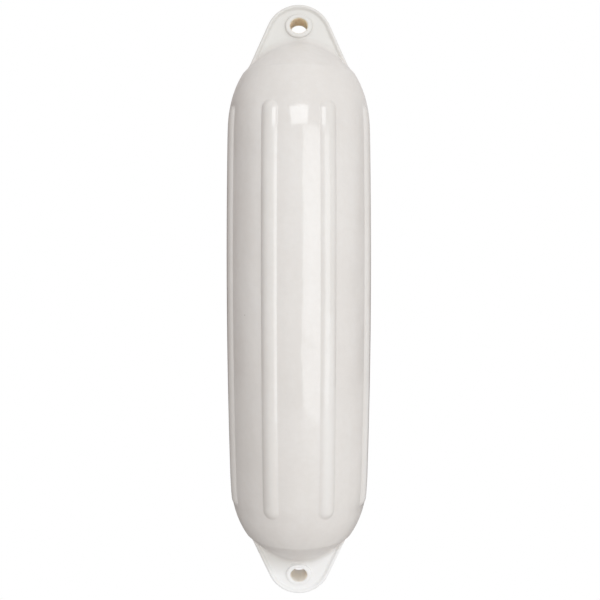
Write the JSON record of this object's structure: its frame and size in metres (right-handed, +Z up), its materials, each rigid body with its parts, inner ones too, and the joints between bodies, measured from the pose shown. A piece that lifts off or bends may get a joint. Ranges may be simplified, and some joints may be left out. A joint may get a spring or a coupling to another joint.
{
  "type": "boat fender",
  "caption": "Long cylindrical inflatable vinyl boat fender with domed ends, raised lengthwise ribs, a flat rope eye at each end and an air valve.",
  "frame": {"origin": "centre of the upper rope eye, where the fender hangs", "axes": "+Z up along the fender, X across the flat rope eyes, -Y towards the front, +Y towards the back with the valve"},
  "size_m": [0.15, 0.15, 0.608],
  "materials": {
    "white_vinyl": "gloss",
    "valve_brass": "satin",
    "valve_rubber": "matte",
    "valve_nylon": "satin"
  },
  "bodies": {
    "root": {"fender_shell": "white_vinyl", "valve_bush": "valve_brass", "valve_washer": "valve_rubber", "valve_screw": "valve_nylon"}
  },
  "joints": []
}
